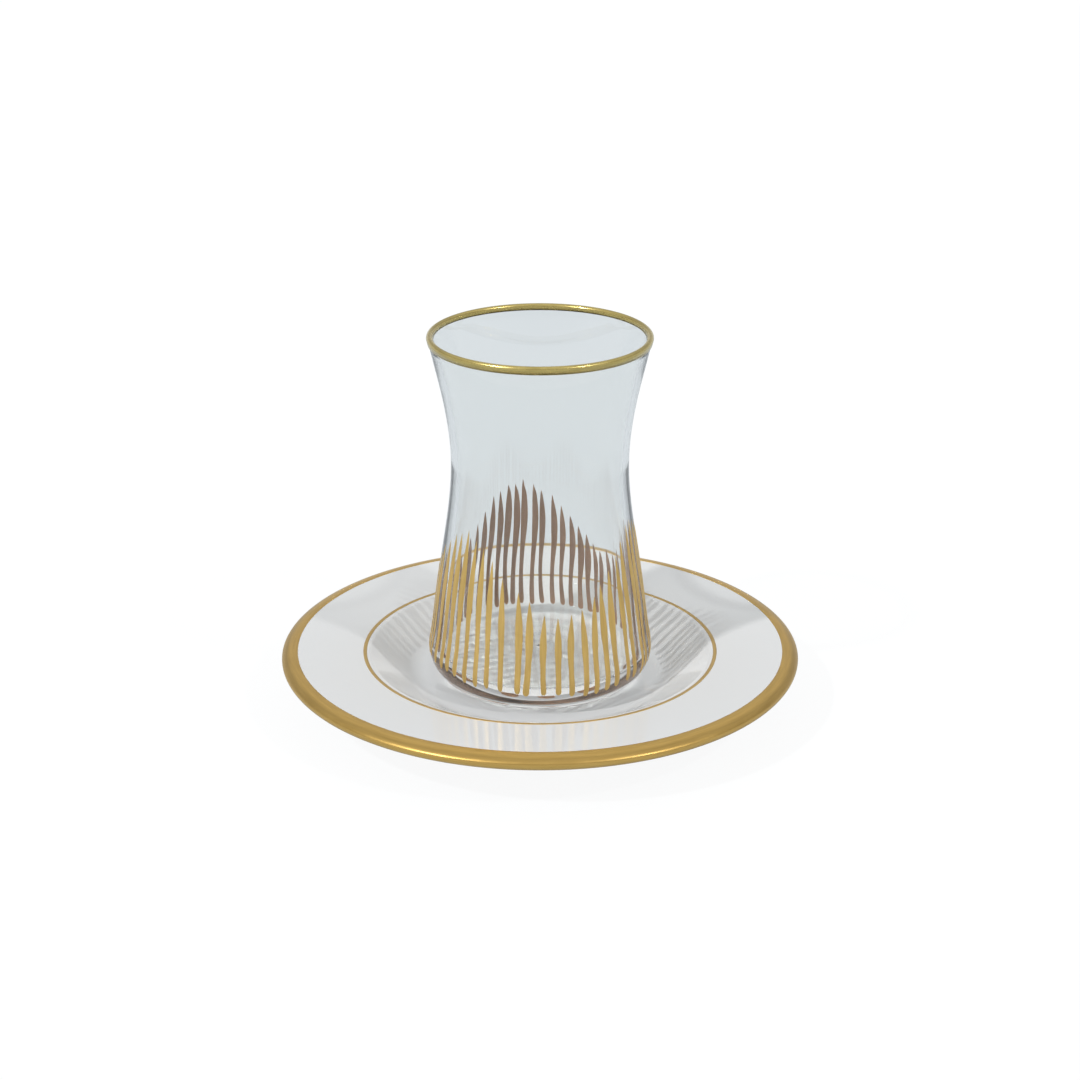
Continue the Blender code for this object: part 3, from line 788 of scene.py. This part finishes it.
FLOOR_SIZE = 6.0
FLOOR_GREY = (0.570, 0.603, 0.630)
FLOOR_MOTTLE = 0.985
FLOOR_GLOW = 1.05
FLOOR_GLOW_SHARE = 0.88
SKY_BANDS = (
    (0.0, 0.95), (0.12, 0.92), (0.30, 0.42), (0.42, 0.40),
    (0.56, 0.66), (0.85, 0.78), (1.0, 0.95),
)
SKY_TINT = (0.975, 0.99, 1.0)
SKY_STRENGTH = 0.98
LAMP_DISTANCE = 1.1
LAMP_AZIMUTH = 54.0
LAMP_ELEVATION = 45.0
LAMP_SPREAD = 2.2
LAMP_LEFT_STRENGTH = 1.70
LAMP_RIGHT_STRENGTH = 0.84
CAMERA_PLACE = (0.0, -0.5750, 0.2754)
CAMERA_TARGET = (0.0, 0.0, 0.04634)
CAMERA_LENS = 75.90
SENSOR_WIDTH = 36.0


def aimed(thing, place_at, target):
    """Puts a lamp or the camera at a place, with its -Z axis towards the target."""
    thing.location = place_at
    thing.rotation_euler = (Vector(target) - Vector(place_at)).to_track_quat("-Z", "Y").to_euler()
    bpy.context.scene.collection.objects.link(thing)
    return thing


def lamp(name, azimuth, elevation, strength):
    """A far soft lamp, its azimuth from the front towards +X and its elevation in degrees."""
    light = bpy.data.lights.new(name, "SUN")
    light.angle = math.radians(LAMP_SPREAD)
    light.energy = strength
    turn, rise = math.radians(azimuth), math.radians(elevation)
    way = Vector((math.cos(rise) * math.sin(turn), -math.cos(rise) * math.cos(turn), math.sin(rise)))
    return aimed(bpy.data.objects.new(name, light), way * LAMP_DISTANCE, (0.0, 0.0, 0.0))


def studio_sky():
    """A studio's light by the sine of the height: a white horizon, a greyer wall, bright panels above."""
    sky = bpy.data.worlds.new("studio")
    sky.use_nodes = True
    tree = sky.node_tree
    place_in = tree.nodes.new("ShaderNodeTexCoord")
    split = tree.nodes.new("ShaderNodeSeparateXYZ")
    bands = tree.nodes.new("ShaderNodeValToRGB")
    stops = [(height, [level * part for part in SKY_TINT]) for height, level in SKY_BANDS]
    set_stops(bands.color_ramp, stops)
    tree.links.new(place_in.outputs["Generated"], split.inputs["Vector"])
    tree.links.new(split.outputs["Z"], bands.inputs["Fac"])
    tree.links.new(bands.outputs["Color"], tree.nodes["Background"].inputs["Color"])
    tree.nodes["Background"].inputs["Strength"].default_value = SKY_STRENGTH
    return sky


def floor_material():
    """Matt pale grey card with a hardly visible mottling, which the camera sees glowing white."""
    material, add, link = new_material("floor card")
    place_in = add("ShaderNodeTexCoord")
    mottling = add("ShaderNodeTexNoise", {"Scale": 3.0, "Detail": 2.0})
    tint = add("ShaderNodeMix", data_type="RGBA")
    tint.inputs["A"].default_value = colour(FLOOR_GREY)
    tint.inputs["B"].default_value = colour([FLOOR_MOTTLE * part for part in FLOOR_GREY])
    shader = add("ShaderNodeBsdfDiffuse")
    glow = add("ShaderNodeEmission", {"Color": colour((1.0, 1.0, 1.0)), "Strength": FLOOR_GLOW})
    both = add("ShaderNodeMixShader")
    path = add("ShaderNodeLightPath")
    share = add("ShaderNodeMath", operation="MULTIPLY")
    share.inputs[1].default_value = FLOOR_GLOW_SHARE
    output = add("ShaderNodeOutputMaterial")
    link(place_in.outputs["Object"], mottling.inputs["Vector"])
    link(mottling.outputs["Fac"], tint.inputs["Factor"])
    link(tint.outputs["Result"], shader.inputs["Color"])
    link(path.outputs["Is Camera Ray"], share.inputs[0])
    link(share.outputs["Value"], both.inputs["Fac"])
    link(shader.outputs["BSDF"], both.inputs[1])
    link(glow.outputs["Emission"], both.inputs[2])
    link(both.outputs["Shader"], output.inputs["Surface"])
    return material


half_floor = FLOOR_SIZE / 2.0
floor_corners = np.array([(-half_floor, -half_floor, 0.0), (half_floor, -half_floor, 0.0),
                          (half_floor, half_floor, 0.0), (-half_floor, half_floor, 0.0)])
floor = smooth_piece("floor", floor_corners, [(0, 1, 2, 3)])
floor.data.materials.append(floor_material())

bpy.context.scene.world = studio_sky()
lamp("lamp_left", -LAMP_AZIMUTH, LAMP_ELEVATION, LAMP_LEFT_STRENGTH)
lamp("lamp_right", LAMP_AZIMUTH, LAMP_ELEVATION, LAMP_RIGHT_STRENGTH)

camera_data = bpy.data.cameras.new("camera")
camera_data.lens = CAMERA_LENS
camera_data.sensor_width = SENSOR_WIDTH
bpy.context.scene.camera = aimed(bpy.data.objects.new("camera", camera_data), CAMERA_PLACE, CAMERA_TARGET)
bpy.context.scene.view_settings.view_transform = "Standard"
